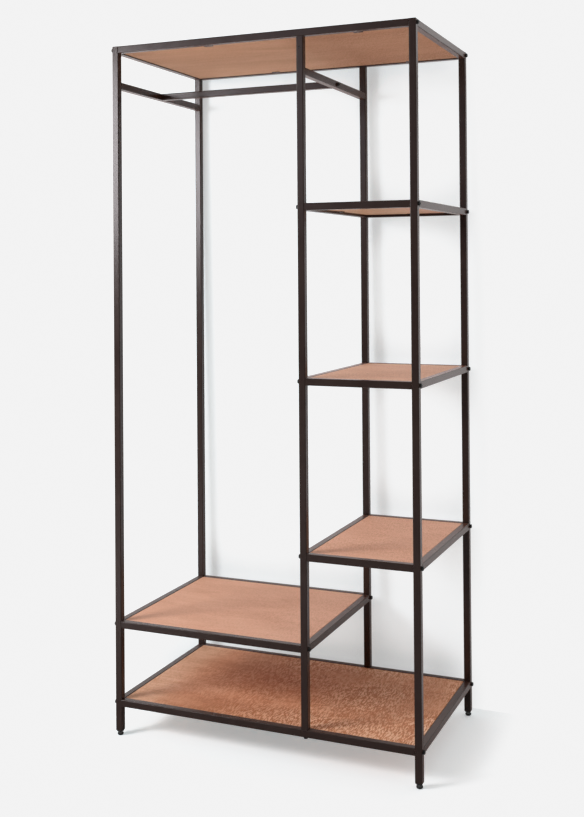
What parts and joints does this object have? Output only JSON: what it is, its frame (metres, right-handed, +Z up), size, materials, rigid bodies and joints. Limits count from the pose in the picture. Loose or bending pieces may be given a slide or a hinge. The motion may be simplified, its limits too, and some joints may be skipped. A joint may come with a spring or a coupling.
{
  "type": "open frame wardrobe",
  "caption": "Free-standing open wardrobe of dark square steel tube with wooden boards: a hanging bay with a bar and low shelf beside a column of open shelves, on screw-adjusted feet.",
  "frame": {"origin": "on the floor, under the centre of the frame", "axes": "+X to the right seen from the front, +Y to the back, +Z up"},
  "size_m": [0.837, 0.482, 1.8],
  "materials": {
    "frame_coat": "satin powder coat",
    "board_wood": "matt oiled veneer with saw marks",
    "bolt_black": "black oxide",
    "zinc_steel": "bright zinc plate",
    "foot_plastic": "moulded, fine texture"
  },
  "bodies": {
    "frame": {"board_screws": "zinc_steel", "bottom_board": "board_wood", "bottom_board_tabs": "frame_coat", "centre_shelf_board": "board_wood", "foot_plugs": "foot_plastic", "front_bottom_rail": "frame_coat", "front_centre_shelf_rail": "frame_coat", "front_left_post": "frame_coat", "front_lower_shelf_rail": "frame_coat", "front_middle_post": "frame_coat", "front_right_post": "frame_coat", "front_shoe_shelf_rail": "frame_coat", "front_top_rail": "frame_coat", "front_upper_shelf_rail": "frame_coat", "hanger_bar": "frame_coat", "left_bottom_side_rail": "frame_coat", "left_frame_bolts": "bolt_black", "left_hanger_rung": "frame_coat", "left_shoe_shelf_side_rail": "frame_coat", "left_top_side_rail": "frame_coat", "lower_shelf_board": "board_wood", "middle_centre_shelf_side_rail": "frame_coat", "middle_frame_bolts": "bolt_black", "middle_hanger_rung": "frame_coat", "middle_lower_shelf_side_rail": "frame_coat", "middle_shoe_shelf_side_rail": "frame_coat", "middle_upper_shelf_side_rail": "frame_coat", "post_caps": "frame_coat", "post_spigots": "zinc_steel", "rail_end_nuts": "zinc_steel", "rear_bottom_rail": "frame_coat", "rear_centre_shelf_rail": "frame_coat", "rear_left_post": "frame_coat", "rear_lower_shelf_rail": "frame_coat", "rear_middle_post": "frame_coat", "rear_right_post": "frame_coat", "rear_shoe_shelf_rail": "frame_coat", "rear_top_rail": "frame_coat", "rear_upper_shelf_rail": "frame_coat", "right_bottom_side_rail": "frame_coat", "right_centre_shelf_side_rail": "frame_coat", "right_frame_bolts": "bolt_black", "right_lower_shelf_side_rail": "frame_coat", "right_top_side_rail": "frame_coat", "right_upper_shelf_side_rail": "frame_coat", "set_screws": "bolt_black", "shelf_tabs": "frame_coat", "shoe_shelf_board": "board_wood", "top_board": "board_wood", "top_board_tabs": "frame_coat", "upper_shelf_board": "board_wood"},
    "front_left_foot_pad": {"front_left_foot_pad": "foot_plastic"},
    "front_left_foot_stud": {"front_left_foot_stud": "zinc_steel"},
    "front_right_foot_pad": {"front_right_foot_pad": "foot_plastic"},
    "front_right_foot_stud": {"front_right_foot_stud": "zinc_steel"},
    "rear_left_foot_pad": {"rear_left_foot_pad": "foot_plastic"},
    "rear_left_foot_stud": {"rear_left_foot_stud": "zinc_steel"},
    "rear_right_foot_pad": {"rear_right_foot_pad": "foot_plastic"},
    "rear_right_foot_stud": {"rear_right_foot_stud": "zinc_steel"}
  },
  "joints": [
    {"name": "front_left_foot_height", "type": "slide", "parent": "frame", "child": "front_left_foot_pad", "axis": [0, 0, -1], "range_m": [-0.0012, 0.01]},
    {"name": "front_left_foot_turn", "type": "hinge", "parent": "front_left_foot_pad", "child": "front_left_foot_stud", "pos_m": [-0.4045, -0.232, 0.006], "axis": [0, 0, -1], "range_deg": [-346, 2881]},
    {"name": "front_right_foot_height", "type": "slide", "parent": "frame", "child": "front_right_foot_pad", "axis": [0, 0, -1], "range_m": [-0.0012, 0.01]},
    {"name": "front_right_foot_turn", "type": "hinge", "parent": "front_right_foot_pad", "child": "front_right_foot_stud", "pos_m": [0.4045, -0.232, 0.006], "axis": [0, 0, -1], "range_deg": [-346, 2881]},
    {"name": "rear_left_foot_height", "type": "slide", "parent": "frame", "child": "rear_left_foot_pad", "axis": [0, 0, -1], "range_m": [-0.0012, 0.01]},
    {"name": "rear_left_foot_turn", "type": "hinge", "parent": "rear_left_foot_pad", "child": "rear_left_foot_stud", "pos_m": [-0.4045, 0.232, 0.006], "axis": [0, 0, -1], "range_deg": [-346, 2881]},
    {"name": "rear_right_foot_height", "type": "slide", "parent": "frame", "child": "rear_right_foot_pad", "axis": [0, 0, -1], "range_m": [-0.0012, 0.01]},
    {"name": "rear_right_foot_turn", "type": "hinge", "parent": "rear_right_foot_pad", "child": "rear_right_foot_stud", "pos_m": [0.4045, 0.232, 0.006], "axis": [0, 0, -1], "range_deg": [-346, 2881]}
  ],
  "couplings": [
    {"joint": "front_left_foot_turn", "follows": "front_left_foot_height", "rad_per_m": 5026.5},
    {"joint": "front_right_foot_turn", "follows": "front_right_foot_height", "rad_per_m": 5026.5},
    {"joint": "rear_left_foot_turn", "follows": "rear_left_foot_height", "rad_per_m": 5026.5},
    {"joint": "rear_right_foot_turn", "follows": "rear_right_foot_height", "rad_per_m": 5026.5}
  ]
}
